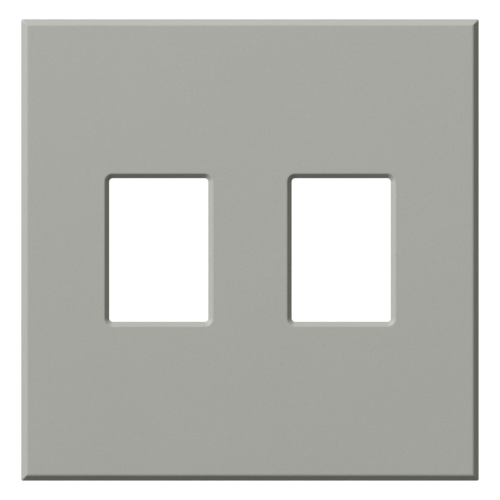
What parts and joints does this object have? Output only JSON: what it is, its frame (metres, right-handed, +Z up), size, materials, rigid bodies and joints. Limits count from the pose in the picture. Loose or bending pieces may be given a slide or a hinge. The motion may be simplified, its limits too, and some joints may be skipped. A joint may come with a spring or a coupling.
{
  "type": "screwless wall plate",
  "caption": "Square push-on wall plate with rectangular windows for rocker or push-pad controls, over a screwed adapter with spring catches.",
  "frame": {"origin": "centre of the adapter's back face, which lies on the yokes of the switches", "axes": "+X to the right as seen from the room, +Y into the wall, +Z up"},
  "size_m": [0.1154, 0.0128, 0.1164],
  "materials": {
    "matte_grey_plastic": "fine even mould texture, matte warm grey",
    "adapter_plastic": "plain moulded dark grey",
    "zinc_plated_steel": "bright zinc plating",
    "spring_steel": "rolled strip, satin"
  },
  "bodies": {
    "adapter": {"adapter_plate": "adapter_plastic"},
    "faceplate": {"faceplate": "matte_grey_plastic"},
    "catch_upper_left": {"catch_spring_upper_left": "spring_steel"},
    "catch_upper_right": {"catch_spring_upper_right": "spring_steel"},
    "catch_lower_left": {"catch_spring_lower_left": "spring_steel"},
    "catch_lower_right": {"catch_spring_lower_right": "spring_steel"},
    "screw_upper_left": {"adapter_screw_upper_left": "zinc_plated_steel"},
    "screw_upper_right": {"adapter_screw_upper_right": "zinc_plated_steel"},
    "screw_lower_left": {"adapter_screw_lower_left": "zinc_plated_steel"},
    "screw_lower_right": {"adapter_screw_lower_right": "zinc_plated_steel"}
  },
  "joints": [
    {"name": "faceplate_pull", "type": "slide", "parent": "adapter", "child": "faceplate", "axis": [0, -1, 0], "range_m": [0, 0.025], "deforming": ["catch_spring_upper_left", "catch_spring_upper_right", "catch_spring_lower_left", "catch_spring_lower_right"]},
    {"name": "catch_spring_upper_left_flex", "type": "hinge", "parent": "adapter", "child": "catch_upper_left", "pos_m": [-0.0536, -0.0021, 0.01], "axis": [0, 1, 0], "range_deg": [0, 2.5], "stiffness_Nm_per_rad": 1.6},
    {"name": "catch_spring_upper_right_flex", "type": "hinge", "parent": "adapter", "child": "catch_upper_right", "pos_m": [0.0536, -0.0021, 0.01], "axis": [0, -1, 0], "range_deg": [0, 2.5], "stiffness_Nm_per_rad": 1.6},
    {"name": "catch_spring_lower_left_flex", "type": "hinge", "parent": "adapter", "child": "catch_lower_left", "pos_m": [-0.0536, -0.0021, -0.01], "axis": [0, -1, 0], "range_deg": [0, 2.5], "stiffness_Nm_per_rad": 1.6},
    {"name": "catch_spring_lower_right_flex", "type": "hinge", "parent": "adapter", "child": "catch_lower_right", "pos_m": [0.0536, -0.0021, -0.01], "axis": [0, 1, 0], "range_deg": [0, 2.5], "stiffness_Nm_per_rad": 1.6},
    {"name": "adapter_screw_upper_left_turn", "type": "hinge", "parent": "adapter", "child": "screw_upper_left", "pos_m": [-0.02302, 0, 0.04842], "axis": [0, 1, 0], "continuous": true},
    {"name": "adapter_screw_upper_right_turn", "type": "hinge", "parent": "adapter", "child": "screw_upper_right", "pos_m": [0.02302, 0, 0.04842], "axis": [0, 1, 0], "continuous": true},
    {"name": "adapter_screw_lower_left_turn", "type": "hinge", "parent": "adapter", "child": "screw_lower_left", "pos_m": [-0.02302, 0, -0.04842], "axis": [0, 1, 0], "continuous": true},
    {"name": "adapter_screw_lower_right_turn", "type": "hinge", "parent": "adapter", "child": "screw_lower_right", "pos_m": [0.02302, 0, -0.04842], "axis": [0, 1, 0], "continuous": true}
  ]
}
